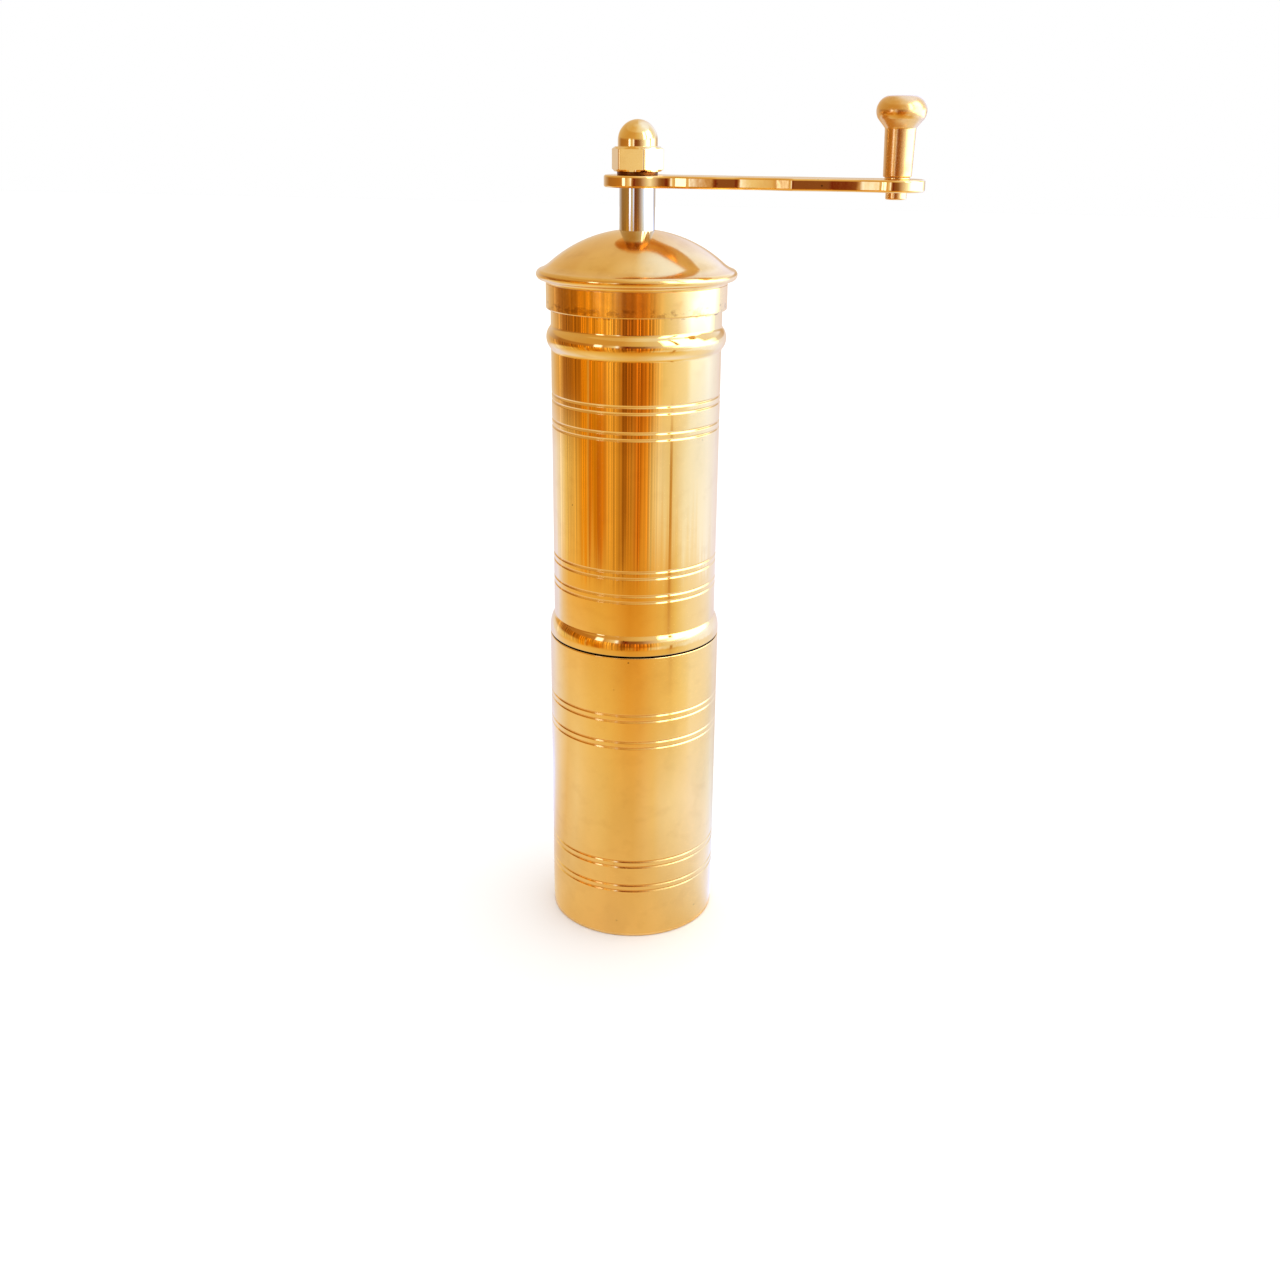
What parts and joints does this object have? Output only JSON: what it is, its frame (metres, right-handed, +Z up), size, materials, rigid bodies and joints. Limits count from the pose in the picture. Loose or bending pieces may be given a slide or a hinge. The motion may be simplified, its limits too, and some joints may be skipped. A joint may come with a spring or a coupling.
{
  "type": "pepper mill",
  "caption": "Tall cylindrical hand-cranked pepper mill with a lower receiver cup, a grinding barrel, a domed lid and a side crank with a turning knob.",
  "frame": {"origin": "centre of the receiver's flat base, on the mill's axis", "axes": "+Z up along the mill's axis, +X along the crank arm towards its knob"},
  "size_m": [0.0828, 0.0442, 0.1925],
  "materials": {
    "polished_brass": "polished",
    "cast_brass": "satin",
    "bright_steel": "polished",
    "plain_steel": "machined",
    "hardened_steel": "hardened and blackened",
    "bronze": "machined"
  },
  "bodies": {
    "receiver": {"receiver_tube": "polished_brass", "receiver_base": "polished_brass"},
    "barrel": {"barrel_tube": "polished_brass", "seat_ring": "polished_brass", "upper_bridge": "cast_brass", "upper_bush": "bronze", "burr_spring": "plain_steel", "burr_ring": "hardened_steel", "lower_bridge": "cast_brass", "bridge_screws": "plain_steel", "lock_nut": "plain_steel"},
    "lid": {"lid_dome": "polished_brass", "lid_skirt": "polished_brass"},
    "ball": {"thrust_ball": "bright_steel"},
    "adjuster": {"adjusting_screw": "plain_steel", "adjusting_wheel": "cast_brass"},
    "rotor": {"drive_shaft": "plain_steel", "inner_burr": "hardened_steel", "burr_pin": "plain_steel", "spring_collar": "plain_steel", "collar_clip": "plain_steel", "shaft_sleeve": "bright_steel", "crank_arm": "polished_brass", "nut_washer": "polished_brass", "cap_nut": "polished_brass", "knob_pin": "polished_brass", "knob_washer": "polished_brass"},
    "knob": {"knob_grip": "polished_brass", "knob_cap": "polished_brass"}
  },
  "joints": [
    {"name": "barrel_lift", "type": "slide", "parent": "receiver", "child": "barrel", "axis": [0, 0, 1], "range_m": [0, 0.025]},
    {"name": "lid_lift", "type": "slide", "parent": "barrel", "child": "lid", "axis": [0, 0, 1], "range_m": [0, 0.0077]},
    {"name": "grind_setting", "type": "slide", "parent": "barrel", "child": "ball", "axis": [0, 0, 1], "range_m": [-0.0006, 0.0006], "deforming": ["burr_spring"]},
    {"name": "adjuster_turn", "type": "hinge", "parent": "ball", "child": "adjuster", "pos_m": [0, 0, 0.05], "axis": [0, 0, 1], "range_deg": [-230, 230]},
    {"name": "crank_turn", "type": "hinge", "parent": "ball", "child": "rotor", "pos_m": [0, 0, 0.1], "axis": [0, 0, 1], "continuous": true},
    {"name": "knob_spin", "type": "hinge", "parent": "rotor", "child": "knob", "pos_m": [0.055, 0, 0.18], "axis": [0, 0, 1], "continuous": true}
  ],
  "couplings": [
    {"joint": "adjuster_turn", "follows": "grind_setting", "rad_per_m": 6283.2}
  ]
}
